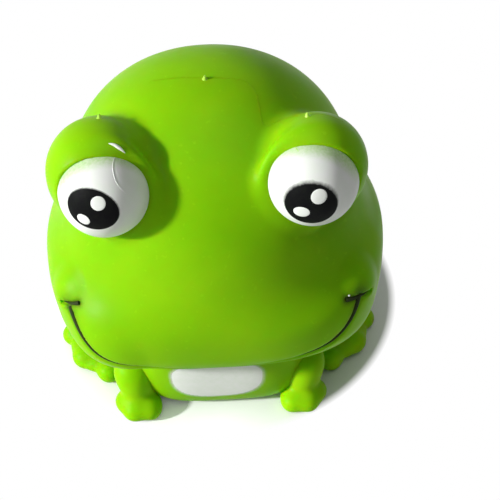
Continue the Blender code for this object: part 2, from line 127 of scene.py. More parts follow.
# Where the white thins to green: towards the hood's rim, on the eye's upper part, and behind its middle
BARE_SHARE = 0.75
BARE_BAND = (-0.36, 0.02)
BARE_TOP = (0.0, 0.6)
BARE_BACK = (0.10, -0.05)

# Mouth: a groove with a painted line
MOUTH_HALF = 0.0295
MOUTH_LOW = 0.0260
MOUTH_SAG = 0.0032  # its middle is lower by this, under the chin
MOUTH_TILT = 0.0003  # the left end of the low stretch is higher by this, the right end lower
MOUTH_CORNER = 0.0346
MOUTH_POWER = 9
MOUTH_SHIFT = -0.0005
GROOVE_DEPTH = 0.00045
GROOVE_ROUND = 0.0005
GROOVE_REACH = 4 * GROOVE_DEPTH  # nothing further from the skin than this is looked at for the groove
LINE_THICK = 0.00050
LINE_THIN = 0.00010
LINE_PROUD = 0.3  # share of its radius that the line stands out of the groove's bottom
LINE_SWELL = (0.35, 1.0)  # shares of the way to a corner between which the line thickens
# Out and up of the inner and outer ends of the crease at each corner
HOOKS = {"left": ((0.0266, 0.0355), (0.0318, 0.0334)), "right": ((0.0274, 0.0363), (0.0310, 0.0342))}
HOOK_THICK = (0.00050, 0.00014)  # at the inner and the outer end

# Soot-grey paint sprayed round the smile: its strength and its reach, and how both change
SOOT_MIDDLE = 0.25
SOOT_CORNER = 0.65  # added at the corners
SOOT_REACH = 0.0006
SOOT_CORNER_REACH = 0.0016  # added at the corners
SOOT_UNDER = 0.3  # share of the added reach that is left under the line
SOOT_EDGE = 0.0004  # half the height over which that share changes
SOOT_POWER = 4
HOOK_SOOT = 0.85
HOOK_SOOT_LOSS = 0.4  # taken off at the outer end
HOOK_REACH = 0.0011
HOOK_REACH_LOSS = 0.0006  # taken off at the outer end

# Torso and belly
TORSO_MIDDLE = np.array((0, 0, 0.014))
TORSO_HALF = np.array((0.021, 0.0253, 0.017))
TORSO_POWER = 3.8
FLOOR_ROUND = 0.0012
HEAD_ROOM = 0.0003
PLUG_HOLE_RADIUS = 0.0063
PLUG_HOLE_DEPTH = 0.0028
PATCH_WIDE = 0.0097
PATCH_UP = 0.0042
PATCH_DOWN = 0.0070
PATCH_MIDDLE = (-0.0012, 0.0124)  # across and up
PATCH_POWER = 2.6
PATCH_FILM = 0.00003
PATCH_SINK = 4  # its underside is this many thicknesses inside the belly
PATCH_SPRAY = (1.10, 0.96)  # shares of its size between which the spray round it grows to full white

# Legs: each lump's middle (out, forward, up), then its half sizes
LEG_SHIFT = -0.0008  # all feet lie slightly to the frog's right of its middle
FRONT_SHIN = ((0.0184, 0.0201, 0.0064), (0.0042, 0.0043, 0.0066))
FRONT_SHIN_TAPER = 0.35
FRONT_SHIN_LEAN = (0.12, -0.30)
FRONT_SOLE = ((0.0176, 0.0225, 0.0021), (0.0042, 0.0040, 0.0026))
FRONT_TOE_HALF = (0.0021, 0.0023, 0.0020)
FRONT_TOES = ((0.0155, 0.0247, 0.0018), (0.0192, 0.0248, 0.0018), (0.0212, 0.0219, 0.0018))
THIGH = ((0.0222, -0.0030, 0.0058), (0.0086, 0.0120, 0.0068))
HIND_SOLE = ((0.0262, 0.0050, 0.0026), (0.0078, 0.0088, 0.0031))
HIND_TOE_HALF = (0.0028, 0.0028, 0.0026)
HIND_TOES = ((0.0333, 0.0020, 0.0025), (0.0305, 0.0090, 0.0026), (0.0249, 0.0136, 0.0025))
FRONT_BLEND = 0.0018
HIND_BLEND = 0.0007

# Mould marks
NUB_PLACES = ((0.0003, -0.0003, 0.0730), (-0.0201, -0.0091, 0.0719), (0.0195, -0.0113, 0.0714))
NUB_RADIUS = 0.00045
NUB_HEIGHT = 0.0008
# A nub's outline from its tip to its foot inside the skin, in shares of its radius and its height
NUB_OUTLINE = ((0, 1), (0.5, 0.9), (0.75, 0.55), (0.9, 0.2), (1.3, 0.0), (1.5, -0.6), (0, -0.6))
PARTING_POINTS = (
    (-0.0106, 0.0019, 0.0715),
    (0.0005, -0.0002, 0.0730),
    (0.0081, -0.0001, 0.0721),
    (0.0101, -0.0029, 0.0713),
    (0.0107, -0.0087, 0.0694),
    (0.0112, -0.0108, 0.0684),
    (0.0156, -0.0076, 0.0685),
    (0.0202, -0.0105, 0.0712),
    (0.0262, -0.0121, 0.0702),
)
PARTING_RADIUS = 0.00005
# Painted highlights, white marks that stand for glints on a lid and by the mouth: points along each, then
# its thickest radius
LID_HIGHLIGHT_POINTS = (
    (-0.0181, -0.0165, 0.0716),
    (-0.0171, -0.0166, 0.0713),
    (-0.0160, -0.0170, 0.0706),
    (-0.0152, -0.0174, 0.0699),
)
MOUTH_HIGHLIGHT_POINTS = ((0.0265, -0.0256, 0.0360), (0.0269, -0.0254, 0.0358))
PAINTED_HIGHLIGHTS = {"right_lid_painted_highlight": (LID_HIGHLIGHT_POINTS, 0.00035), "left_mouth_painted_highlight": (MOUTH_HIGHLIGHT_POINTS, 0.00022)}

# Mesh fineness
HEAD_CELL = 0.00048
BODY_CELL = 0.0005
LEG_CELL = 0.0004
BOX_CELLS = 3  # cells between a node's box and the box that its surface is looked for in
LEG_BOX_CELLS = 4
LEG_BOX_ROOM = 0.004  # more, for feet that are shifted
SETTLE_ROUNDS = 4
RELAX_ROUNDS = 4
SLOPE_STEP = 0.00002
SMALLEST_SLOPE = 1e-9
SMALLEST_STEP = 1e-12
SHARP_ANGLE = math.radians(50)
LONGEST_WAY = 0.06  # from inside a form to its surface
HALVINGS = 40
MOUTH_STEPS = 80
GROOVE_STEPS = 48
HOOK_STEPS = 8
LINE_SIDES = 10
THREAD_SIDES = 8
NUB_SIDES = 16
EYE_STEPS = 72
EYE_SIDES = 96
DISC_RINGS = 10
DISC_SIDES = 48
PATCH_RINGS = 14
PATCH_SIDES = 72
CURVE_STEPS = 8  # for each corner of a path
CURVE_ROUNDS = 8
TAPER_START = 0.15  # radians of the half turn that a tapered line follows
TUBE_ASIDE = (0.3, 0.2, 0.93)  # a direction that no tube starts along

# Colours, linear
GREEN = (0.270, 0.595, 0.003)
GREEN_DEEP = (0.205, 0.530, 0.002)
GREEN_PALE = (0.320, 0.680, 0.010)
# Paler, yellower greens for the legs: painted light, a lit copy of the rubber for light that shines
# through the thin feet
LEG_LIT_GREEN = (0.345, 0.690, 0.003)
LEG_LIT_DEEP = (0.265, 0.600, 0.002)
WHITE = (0.90, 0.92, 0.88)
WHITE_WORN = (0.85, 0.89, 0.82)
INK = (0.006, 0.007, 0.006)
INK_WORN = (0.004, 0.004, 0.005)
SOOT = (0.030, 0.045, 0.015)
SOOT_WORN = (0.040, 0.055, 0.018)
# Paler green of the vent nubs: a painted glint for light that shines through the thin flash. The same
# material draws the crack in one eye's paint
PALE_GREEN_AND_GLINT = (0.55, 0.85, 0.12)
FLOOR_PALE = (0.91, 0.91, 0.91)
FLOOR_DULL = (0.89, 0.89, 0.89)
FLOOR_BOUNCE = (0.75, 0.75, 0.75)  # for rays that light the object

# Noise in the materials, in waves a metre, and the span that most of it lies in
NOISE_SPAN = (0.3, 0.7)
NOISE_DETAIL = 3.0
FINE_DETAIL = 2.0
STREAK_DETAIL = 4.0
RUBBER_CLOUD = 45
RUBBER_SHEEN = 160
RUBBER_FLECK = 700
RUBBER_GRAIN = 1400
EYE_CLOUD = 220
EYE_GRAIN = 1800
EYE_STREAK = 2000
PAINT_CLOUD = 900
PAINT_GRAIN = 2200
FLOOR_CLOUD = 300

# Materials
FLECK_SPAN = (0.66, 0.74)
FLECK_SHARE = 0.35
SOOT_WEAR = 0.75  # share of the soot that is left where the grain is lowest
WHITE_WEAR = 0.6
RUBBER_ROUGH = (0.33, 0.46)
RUBBER_GLOSS = 0.05
RUBBER_DEPTH = (0.6, (0.15, 1.0, 0.03), 0.0055)  # share, colour and reach of the light inside
RUBBER_BUMP = (0.00004, 0.35)  # height and strength
EYE_ROUGH = (0.48, 0.28)  # where painted and where bare
EYE_GLOSS = 0.20
EYE_DEPTH = (0.15, (0.6, 1.0, 0.5), 0.0012)
BARE_STREAK = 0.55  # share of the bareness that is left where the streaks are lowest
BARE_SPAN = (0.03, 0.95)
BARE_MOST = 0.9
# Reach of the ink dust above each pupil, in shares of its size
PUPIL_SOFTNESS = {"right": 0.07, "left": 0.16}
DUST_SHARP = 0.02  # the same below the pupil
DUST_SPAN = (-0.3, 0.7)  # heights on the pupil between which its edge softens
DUST_GRAIN = 0.12
PAINT_PATCHY = 0.06  # how much a paint's roughness varies either way
PAINT_BUMP = (0.00003, 0.3)

# Each lamp: its spread and rise in degrees, its side, its width and the brightness of white that faces it
LAMPS = {"key": ((72, 25, -1), 0.125, 1.33), "soft_top": ((25, 78, 1), 1.25, 0.24)}
LAMP_DISTANCE = 1.5
FILL_LEVEL = 0.04

# Floor
FLOOR_HALF = 1.5
FLOOR_ROUGH = 0.9
FLOOR_GLOW = 0.48
FLOOR_MIDDLE = (0, 0.010, 0)
FLOOR_FADE = (0.0396, 0.0416)  # distances between which the floor fades to the white backdrop
SHADE_FADE = (-0.010, 0.008)  # distances towards the shaded side between which the floor's glow goes down
SHADE_GLOW = 0.1  # share of the glow that is left there
# Painted contact shade: the floor's glow is darker close to the object, over this reach and with this
# power
CONTACT_SHADE_REACH = 0.02
CONTACT_SHADE_POWER = 0.8


def rounded(points, middle, half, power):
    """A measure that is negative inside an ellipsoid, boxier for a power above 2."""
    spread = (np.abs((points - middle) / half) ** power).sum(axis=1)
    return (spread ** (1 / power) - 1) * min(half)


def ball(points, middle, radius):
    return np.linalg.norm(points - np.array(middle), axis=1) - radius


def blended(first, second, length):
    """The union of two measures, rounded where they meet."""
    share = np.clip(0.5 + 0.5 * (second - first) / length, 0, 1)
    return second * (1 - share) + first * share - length * share * (1 - share)


def carved(first, second, length):
    """The first measure without the second, rounded along the rim."""
    return -blended(-first, second, length)


def smooth(low, high, value):
    """A share that goes softly from 0 at one value to 1 at another."""
    share = np.clip((value - low) / (high - low), 0, 1)
    return share * share * (3 - 2 * share)


def bearing(spread, rise, side):
    """A direction ahead of the frog, turned out to one side and up."""
    level = math.cos(rise)
    return np.array((side * level * math.sin(spread), -level * math.cos(spread), math.sin(rise)))


def eye_middle(side):
    return np.array((side * EYE_MIDDLE[0], EYE_MIDDLE[1], EYE_MIDDLE[2]))


def lid_offset(name, side):
    """How far the middle of a lid is from the middle of its eye."""
    out, back, up = LIDS[name][1]
    return np.array((side * out, back, up))


def bare_head(points):
    skull = rounded(points, SKULL_MIDDLE, SKULL_HALF, SKULL_POWER)
    jaw = rounded(points, JAW_MIDDLE, JAW_HALF, JAW_POWER)
    face = rounded(points, FACE_MIDDLE, FACE_HALF, FACE_POWER)
    return blended(blended(skull, jaw, HEAD_BLEND), face, FACE_BLEND)


def lidded_head(points):
    """The head with its two lids and its jowl, before the sockets and the mouth are cut."""
    form = bare_head(points)
    for name, side in SIDES:
        lid = ball(points, eye_middle(side) + lid_offset(name, side), LIDS[name][0])
        form = blended(form, lid, LID_BLEND)
    return blended(form, ball(points, JOWL_MIDDLE, JOWL_RADIUS), JOWL_BLEND)


def slope_of(form, points):
    """How a form grows along each axis."""
    slopes = []
    for axis in np.eye(3) * SLOPE_STEP:
        slopes.append((form(points + axis) - form(points - axis)) / (2 * SLOPE_STEP))
    return np.stack(slopes, axis=1)


def outward(form, points):
    slope = slope_of(form, points)
    return slope / np.linalg.norm(slope, axis=1, keepdims=True)


def on_form(form, start):
    """Where lines that run forward from points inside a form meet its surface."""
    near = np.zeros(len(start))
    far = np.full(len(start), LONGEST_WAY)
    for _ in range(HALVINGS):
        half_way = (near + far) / 2
        inside = form(start + FORWARD * half_way[:, None]) < 0
        near = np.where(inside, half_way, near)
        far = np.where(inside, far, half_way)
    return start + FORWARD * near[:, None]


def on_face(across, up):
    """Places on the front of the head, at distances across from the mouth's middle and up."""
    start = np.stack([across + MOUTH_SHIFT, np.full(len(across), JAW_MIDDLE[1]), up], axis=1)
    return on_form(lidded_head, start)


def mouth_points(steps):
    """Points of the smile on the face, from corner to corner."""
    across = np.sin(np.linspace(-math.pi / 2, math.pi / 2, steps + 1))
    low = MOUTH_LOW + MOUTH_TILT * across - MOUTH_SAG * (1 - across**2) ** 2
    up = low + (MOUTH_CORNER - low) * np.abs(across) ** MOUTH_POWER
    return on_face(across * MOUTH_HALF, up)


def hook_points(name, side):
    """Points of the crease under a cheek, from its inner end to its outer end."""
    share = np.linspace(0, 1, HOOK_STEPS + 1)
    inner, outer = HOOKS[name]
    out = inner[0] + (outer[0] - inner[0]) * share
    up = inner[1] + (outer[1] - inner[1]) * share
    return on_face(side * out, up)


def cheek_middles():
    """Middles of the two small bulges of the cheeks, most of which lie inside the head."""
    across = np.array([side * CHEEK_PLACE[0] for _, side in SIDES])
    places = on_face(across, np.full(len(across), CHEEK_PLACE[1]))
    return places - outward(lidded_head, places) * (CHEEK_RADIUS - CHEEK_PROUD)


def line_gap(points, path):
    """Distance from each point to a polyline, and the place along it from 0 to 1."""
    best = np.full(len(points), np.inf)
    place = np.zeros(len(points))
    for index, (first, second) in enumerate(zip(path[:-1], path[1:])):
        along = second - first
        share = np.clip((points - first) @ along / (along @ along), 0, 1)
        gap = np.linalg.norm(points - first - share[:, None] * along, axis=1)
        nearer = gap < best
        best = np.where(nearer, gap, best)
        place = np.where(nearer, (index + share) / (len(path) - 1), place)
    return best, place


MOUTH_PATH = mouth_points(GROOVE_STEPS)
HOOK_PATHS = [hook_points(name, side) for name, side in SIDES]
CHEEKS = cheek_middles()


def socket(points, side):
    """The room that an eye needs to slide out of the head, smaller by the rim's grip."""
    way = bearing(POP_SPREAD, POP_RISE, side)
    away = points - eye_middle(side)
    along = np.maximum(away @ way, 0)
    return np.linalg.norm(away - along[:, None] * way, axis=1) - EYE_RADIUS + SOCKET_GRIP


def eye_ring(points, side):
    """A raised rim that shows where an eye stands out of the face."""
    out, back, up = RING_OFFSET
    away = points - eye_middle(side) - np.array((side * out, back, up))
    along = away @ bearing(POP_SPREAD, POP_RISE, side)
    aside = np.sqrt(np.maximum((away**2).sum(axis=1) - along**2, 0))
    return np.hypot(aside - RING_RADIUS, along) - RING_THICK


def closed_head(points):
    """The head with cheeks, mouth groove and eye rims, but no eye sockets."""
    form = lidded_head(points)
    for place in CHEEKS:
        form = blended(form, ball(points, place, CHEEK_RADIUS), CHEEK_BLEND)
    near = np.abs(form) < GROOVE_REACH
    near &= points[:, 2] < CHEEK_PLACE[1]
    near &= points[:, 1] < JAW_MIDDLE[1]
    if near.any():
        close = points[near]
        groove = line_gap(close, MOUTH_PATH)[0] - GROOVE_DEPTH
        for path in HOOK_PATHS:
            groove = np.minimum(groove, line_gap(close, path)[0] - GROOVE_DEPTH)
        form[near] = carved(form[near], groove, GROOVE_ROUND)
    for _, side in SIDES:
        form = blended(form, eye_ring(points, side), RING_BLEND)
    return form


def head_form(points):
    """The whole outside of the head."""
    form = closed_head(points)
    for _, side in SIDES:
        form = carved(form, socket(points, side), RIM_ROUND)
    return form


def bare_torso(points):
    return rounded(points, TORSO_MIDDLE, TORSO_HALF, TORSO_POWER)


def torso_form(points):
    """The torso, flat underneath, hollowed for the head and with a hole for the plug."""
    form = carved(bare_torso(points), points[:, 2], FLOOR_ROUND)
    form = carved(form, bare_head(points) - HEAD_ROOM, FLOOR_ROUND)
    aside = np.hypot(points[:, 0], points[:, 1]) - PLUG_HOLE_RADIUS
    return np.maximum(form, -np.maximum(aside, points[:, 2] - PLUG_HOLE_DEPTH))


def lump(points, place, half, side, taper=0.0, lean=(0.0, 0.0)):
    """An egg that may widen upwards and lean out and forward as it rises."""
    rise = points[:, 2] - place[2]
    width = 1 + taper * np.clip(rise / half[2], -1, 1)
    out = side * (points[:, 0] - LEG_SHIFT) - place[0] - lean[0] * rise
    forward = -points[:, 1] - place[1] - lean[1] * rise
    moved = np.stack([out / width, forward / width, rise], axis=1)
    return rounded(moved, np.zeros(3), np.array(half), 2)


def front_leg_form(points, side):
    form = lump(points, *FRONT_SHIN, side, FRONT_SHIN_TAPER, FRONT_SHIN_LEAN)
    form = blended(form, lump(points, *FRONT_SOLE, side), FRONT_BLEND)
    for place in FRONT_TOES:
        form = blended(form, lump(points, place, FRONT_TOE_HALF, side), FRONT_BLEND)
    return carved(form, points[:, 2], FLOOR_ROUND / 2)


def hind_leg_form(points, side):
    form = lump(points, *THIGH, side)
    form = blended(form, lump(points, *HIND_SOLE, side), HIND_BLEND)
    for place in HIND_TOES:
        form = blended(form, lump(points, place, HIND_TOE_HALF, side), HIND_BLEND)
    return carved(form, points[:, 2], FLOOR_ROUND / 2)


def settle(points, form, cell):
    """Moves points onto the surface of a form, by a cell at most."""
    value = form(points)
    slope = slope_of(form, points)
    step = slope * (value / np.maximum((slope**2).sum(axis=1), SMALLEST_SLOPE))[:, None]
    length = np.linalg.norm(step, axis=1, keepdims=True)
    return points - step * np.minimum(1, cell / np.maximum(length, SMALLEST_STEP))


def relax(points, faces):
    """Moves points half way to the middle of the faces round them."""
    middles = points[faces].mean(axis=1)
    total = np.zeros_like(points)
    count = np.zeros(len(points))
    for corners in faces.T:
        np.add.at(total, corners, middles)
        np.add.at(count, corners, 1)
    return (points + total / np.maximum(count, 1)[:, None]) / 2


def surface(form, low, high, cell):
    """Even quads on the surface of a form, found in cubes of one size inside a box."""
    low = np.array(low)
    counts = np.ceil((np.array(high) - low) / cell).astype(int) + 1
    rows = [low[axis] + cell * np.arange(counts[axis]) for axis in range(3)]
    depth, height = np.meshgrid(rows[1], rows[2], indexing="ij")
    inside = np.empty(counts, bool)
    for index, across in enumerate(rows[0]):
        points = np.stack([np.full(depth.size, across), depth.ravel(), height.ravel()], axis=1)
        inside[index] = (form(points) < 0).reshape(depth.shape)
    total = np.zeros(counts - 1, int)
    corners = list(itertools.product((0, 1), repeat=3))
    for offset in corners:
        window = tuple(slice(start, start + size - 1) for start, size in zip(offset, counts))
        total += inside[window]
    active = (total > 0) & (total < len(corners))
    number = np.full(active.shape, -1)
    number[active] = np.arange(active.sum())
    points = low + cell * (np.argwhere(active) + 0.5)
    faces = []
    for axis in range(3):
        order = (axis, (axis + 1) % 3, (axis + 2) % 3)
        solid = inside.transpose(order)[:, 1:-1, 1:-1]
        cells = number.transpose(order)
        for leaving in (True, False):
            crossing = (solid[:-1] == leaving) & (solid[1:] != leaving)
            i, j, k = np.nonzero(crossing)
            ring = [cells[i, j, k], cells[i, j + 1, k], cells[i, j + 1, k + 1], cells[i, j, k + 1]]
            faces.append(np.stack(ring if leaving else ring[::-1], axis=1))
    faces = np.concatenate(faces)
    for _ in range(RELAX_ROUNDS):
        points = settle(points, form, cell)
        points = relax(points, faces)
    for _ in range(SETTLE_ROUNDS):
        points = settle(points, form, cell)
    return points, faces


def box_surface(box, form, cell, cells, room=0.0):
    """The surface of a form in a box, widened by some cells and some room."""
    low, high = (np.array(corner) for corner in box)
    margin = cells * cell
    return surface(form, low - margin - room, high + margin + room, cell)


def add_piece(name, points, faces, material):
    """A smooth mesh object in the scene."""
    mesh = bpy.data.meshes.new(name)
    mesh.from_pydata(np.asarray(points).tolist(), [], [list(face) for face in faces])
    mesh.shade_smooth()
    mesh.set_sharp_from_angle(angle=SHARP_ANGLE)
    mesh.materials.append(material)
    piece = bpy.data.objects.new(name, mesh)
    bpy.context.scene.collection.objects.link(piece)
    return piece


def mark(piece, name, values):
    """Keeps a number from 0 to 1 at each point for the material to read."""
    store = piece.data.attributes.new(name, "FLOAT", "POINT")
    store.data.foreach_set("value", np.asarray(values, np.float32))


def dress(piece, body, slot, *nodes):
    """Ties a piece to its body and hides the nodes that it stands for; the slot for its finish is not
    used.
    """
    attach(piece, body)
    if nodes:
        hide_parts(*nodes)


def circle(middle, radius, aside, above, sides):
    """Points round a circle in the plane of two directions."""
    points = []
    for step in range(sides):
        angle = 2 * math.pi * step / sides
        points.append(middle + radius * (math.cos(angle) * aside + math.sin(angle) * above))
    return points


def ring_faces(first, rings, sides):
    """Quads between rings of points that follow each other from a first point on."""
    faces = []
    for ring in range(rings - 1):
        low = first + ring * sides
        high = low + sides
        for step in range(sides):
            after = (step + 1) % sides
            faces.append((low + step, low + after, high + after, high + step))
    return faces


def fan_faces(middle, first, sides):
    """Triangles between a middle point and the ring of points that starts at a first point."""
    return [(middle, first + (step + 1) % sides, first + step) for step in range(sides)]


def flipped(faces):
    """The same faces, seen from their other side."""
    return [(face[0], *face[:0:-1]) for face in faces]


def tube(path, radii, sides):
    """A closed tube along points, with a radius at each point."""
    path = np.asarray(path)
    along = np.gradient(path, axis=0)
    along /= np.linalg.norm(along, axis=1, keepdims=True)
    points = []
    aside = np.cross(along[0], TUBE_ASIDE)
    for place, way, radius in zip(path, along, radii):
        aside = aside - way * (aside @ way)
        aside /= np.linalg.norm(aside)
        points += circle(place, radius, aside, np.cross(way, aside), sides)
    faces = ring_faces(0, len(path), sides)
    faces.append(tuple(reversed(range(sides))))
    faces.append(tuple(range(len(points) - sides, len(points))))
    return points, faces


def curve(corners):
    """A smooth path along a few points."""
    corners = np.array(corners)
    spot = np.linspace(0, len(corners) - 1, CURVE_STEPS * len(corners))
    rows = [np.interp(spot, range(len(corners)), row) for row in corners.T]
    path = np.stack(rows, axis=1)
    for _ in range(CURVE_ROUNDS):
        path[1:-1] = (path[:-2] + 2 * path[1:-1] + path[2:]) / 4
    return path


def on_head(path):
    """The same path, laid onto the head."""
    for _ in range(SETTLE_ROUNDS):
        path = settle(path, closed_head, HEAD_CELL)
    return path


def tapered(count):
    """Shares of a radius along a line that is thick in its middle and thin at its ends."""
    return np.sin(np.linspace(TAPER_START, math.pi - TAPER_START, count))


def turned(profile, middle, way, sides):
    """A closed solid turned about a direction that isn't straight up.

    Its outline is (radius, height) corners, of which the first and the last are on the axis.
    """
    aside = np.cross(way, (0.0, 0.0, 1.0))
    aside /= np.linalg.norm(aside)
    above = np.cross(aside, way)
    points = [middle + way * profile[0][1]]
    for radius, height in profile[1:-1]:
        points += circle(middle + way * height, radius, aside, above, sides)
    points.append(middle + way * profile[-1][1])
    last = len(points) - 1
    faces = fan_faces(0, 1, sides)
    faces += ring_faces(1, len(profile) - 2, sides)
    faces += flipped(fan_faces(last, last - sides, sides))
    return points, faces


def new_material(name):
    """A node material with its shader."""
    material = bpy.data.materials.new(name)
    material.use_nodes = True
    tree = material.node_tree
    return material, tree, tree.nodes["Principled BSDF"]


def add_node(tree, kind, **settings):
    node = tree.nodes.new(kind)
    for name, value in settings.items():
        setattr(node, name, value)
    return node


def own_place(tree):
    """Where a point is, in the piece's own coordinates."""
    return add_node(tree, "ShaderNodeTexCoord").outputs["Object"]


def noise(tree, scale, detail=NOISE_DETAIL):
    """Noise in the piece's own coordinates, with a scale in waves a metre."""
    texture = add_node(tree, "ShaderNodeTexNoise")
    texture.inputs["Scale"].default_value = scale
    texture.inputs["Detail"].default_value = detail
    tree.links.new(own_place(tree), texture.inputs["Vector"])
    return texture.outputs["Fac"]


def spread(tree, value, low, high, to_low=0.0, to_high=1.0):
    """Maps a range of a value to another range."""
    node = add_node(tree, "ShaderNodeMapRange")
    node.inputs["From Min"].default_value = low
    node.inputs["From Max"].default_value = high
    node.inputs["To Min"].default_value = to_low
    node.inputs["To Max"].default_value = to_high
    tree.links.new(value, node.inputs["Value"])
    return node.outputs["Result"]


def mixed(tree, share, first, second):
    """A colour between two, each a colour or another node's output."""
    node = add_node(tree, "ShaderNodeMix", data_type="RGBA")
    tree.links.new(share, node.inputs["Factor"])
    for socket_name, value in (("A", first), ("B", second)):
        entry = [item for item in node.inputs if item.name == socket_name and item.type == "RGBA"][0]
        if isinstance(value, tuple):
            entry.default_value = (*value, 1)
        else:
            tree.links.new(value, entry)
    return [item for item in node.outputs if item.type == "RGBA"][0]


def attribute(tree, name):
    return add_node(tree, "ShaderNodeAttribute", attribute_name=name).outputs["Fac"]


def number_math(tree, operation, first, second):
    node = add_node(tree, "ShaderNodeMath", operation=operation)
    for entry, value in zip(node.inputs, (first, second)):
        if isinstance(value, (int, float)):
            entry.default_value = value
        else:
            tree.links.new(value, entry)
    return node.outputs["Value"]


def times(tree, first, second):
    return number_math(tree, "MULTIPLY", first, second)


def vector_math(tree, operation, first, second=None, output="Vector"):
    node = add_node(tree, "ShaderNodeVectorMath", operation=operation)
    for entry, value in zip(node.inputs, (first, second)):
        if isinstance(value, (tuple, np.ndarray)):
            entry.default_value = tuple(value)
        elif value is not None:
            tree.links.new(value, entry)
    return node.outputs[output]


def add_bump(tree, shader, height, distance, strength):
    bump = add_node(tree, "ShaderNodeBump")
    bump.inputs["Distance"].default_value = distance
    bump.inputs["Strength"].default_value = strength
    tree.links.new(height, bump.inputs["Height"])
    tree.links.new(bump.outputs["Normal"], shader.inputs["Normal"])


def set_depth(shader, share, colour, reach):
    """Lets light into a material, each colour as far as its share of the reach."""
    shader.inputs["Subsurface Weight"].default_value = share
    shader.inputs["Subsurface Radius"].default_value = colour
    shader.inputs["Subsurface Scale"].default_value = reach


def rubber_material(name, deep, green):
    """Glossy, slightly see-through green rubber, with soot round the mouth and white overspray."""
    material, tree, shader = new_material(name)
    cloud = spread(tree, noise(tree, RUBBER_CLOUD), *NOISE_SPAN)
    colour = mixed(tree, cloud, deep, green)
    fleck = spread(tree, noise(tree, RUBBER_FLECK, FINE_DETAIL), *FLECK_SPAN)
    colour = mixed(tree, times(tree, fleck, FLECK_SHARE), colour, GREEN_PALE)
    grain = noise(tree, RUBBER_GRAIN, FINE_DETAIL)
    for label, wear, paint in (("soot", SOOT_WEAR, SOOT), ("white", WHITE_WEAR, WHITE)):
        share = times(tree, attribute(tree, label), spread(tree, grain, *NOISE_SPAN, wear, 1.0))
        colour = mixed(tree, share, colour, paint)
    tree.links.new(colour, shader.inputs["Base Color"])
    sheen = spread(tree, noise(tree, RUBBER_SHEEN), *NOISE_SPAN, *RUBBER_ROUGH)
    tree.links.new(sheen, shader.inputs["Roughness"])
    shader.inputs["Specular IOR Level"].default_value = RUBBER_GLOSS
    set_depth(shader, *RUBBER_DEPTH)
    add_bump(tree, shader, grain, *RUBBER_BUMP)
    return material


def oval_place(tree, middle, axes, half):
    """How far out and up of an oval's middle a place on an eye is, both 1 at the oval's edge."""
    unit = vector_math(tree, "NORMALIZE", vector_math(tree, "SUBTRACT", own_place(tree), middle))
    shares = []
    for axis, angle in zip(axes, half):
        along = vector_math(tree, "DOT_PRODUCT", unit, axis, "Value")
        shares.append(number_math(tree, "DIVIDE", along, math.sin(angle)))
    return shares


def eye_material(name, middle, axes, half, softness):
    """White paint on green rubber: it thins to green streaks, and ink dust lies above the pupil."""
    material, tree, shader = new_material(name)
    grain = noise(tree, EYE_GRAIN)
    streak = noise(tree, EYE_STREAK, STREAK_DETAIL)
    colour = mixed(tree, spread(tree, noise(tree, EYE_CLOUD), *NOISE_SPAN), WHITE_WORN, WHITE)
    thin = times(tree, attribute(tree, "bare"), spread(tree, streak, *NOISE_SPAN, BARE_STREAK, 1.0))
    bare = spread(tree, thin, *BARE_SPAN, 0.0, BARE_MOST)
    colour = mixed(tree, bare, colour, GREEN)
    across, up = oval_place(tree, middle, axes, half)
    square = number_math(tree, "ADD", times(tree, across, across), times(tree, up, up))
    beyond = number_math(tree, "SUBTRACT", number_math(tree, "POWER", square, 0.5), 1.0)
    reach = spread(tree, up, *DUST_SPAN, DUST_SHARP, softness)
    dust = number_math(tree, "DIVIDE", beyond, reach)
    dust = number_math(tree, "ADD", dust, spread(tree, grain, *NOISE_SPAN, -DUST_GRAIN, DUST_GRAIN))
    colour = mixed(tree, spread(tree, dust, 0.0, 1.0, 1.0, 0.0), colour, INK)
    tree.links.new(colour, shader.inputs["Base Color"])
    tree.links.new(spread(tree, bare, 0, 1, *EYE_ROUGH), shader.inputs["Roughness"])
    shader.inputs["Specular IOR Level"].default_value = EYE_GLOSS
    set_depth(shader, *EYE_DEPTH)
    add_bump(tree, shader, grain, *PAINT_BUMP)
    return material


def paint_material(name, colour, other, roughness, gloss):
    """A thin coat of paint with slight patches."""
    material, tree, shader = new_material(name)
    cloud = spread(tree, noise(tree, PAINT_CLOUD), *NOISE_SPAN)
    tree.links.new(mixed(tree, cloud, colour, other), shader.inputs["Base Color"])
    grain = noise(tree, PAINT_GRAIN, FINE_DETAIL)
    sheen = spread(tree, grain, *NOISE_SPAN, roughness - PAINT_PATCHY, roughness + PAINT_PATCHY)
    tree.links.new(sheen, shader.inputs["Roughness"])
    shader.inputs["Specular IOR Level"].default_value = gloss
    add_bump(tree, shader, grain, *PAINT_BUMP)
    return material


RUBBER = rubber_material("green_rubber_looks", GREEN_DEEP, GREEN)
# The legs get a lit copy of the green rubber: painted light
LIT_LEG_RUBBER = rubber_material("lit_leg_rubber_looks", LEG_LIT_DEEP, LEG_LIT_GREEN)
INK_PAINT = paint_material("pupil_ink_looks", INK, INK_WORN, roughness=0.55, gloss=0.05)
WHITE_PAINT = paint_material("white_paint_looks", WHITE, WHITE_WORN, roughness=0.45, gloss=0.2)
SOOT_PAINT = paint_material("mouth_paint_looks", SOOT, SOOT_WORN, roughness=0.6, gloss=0.05)
PALE_RUBBER_AND_GLINT = paint_material("pale_rubber_and_glint_looks", PALE_GREEN_AND_GLINT, GREEN_PALE, roughness=0.35, gloss=0.3)

# Thickness, material and slot of each film of paint on an eye
FILMS = {
    "pupil": (PUPIL_FILM, INK_PAINT, "black_paint"),
    "big_glint": (GLINT_FILM, WHITE_PAINT, "white_paint"),
    "small_glint": (GLINT_FILM, WHITE_PAINT, "white_paint"),
}


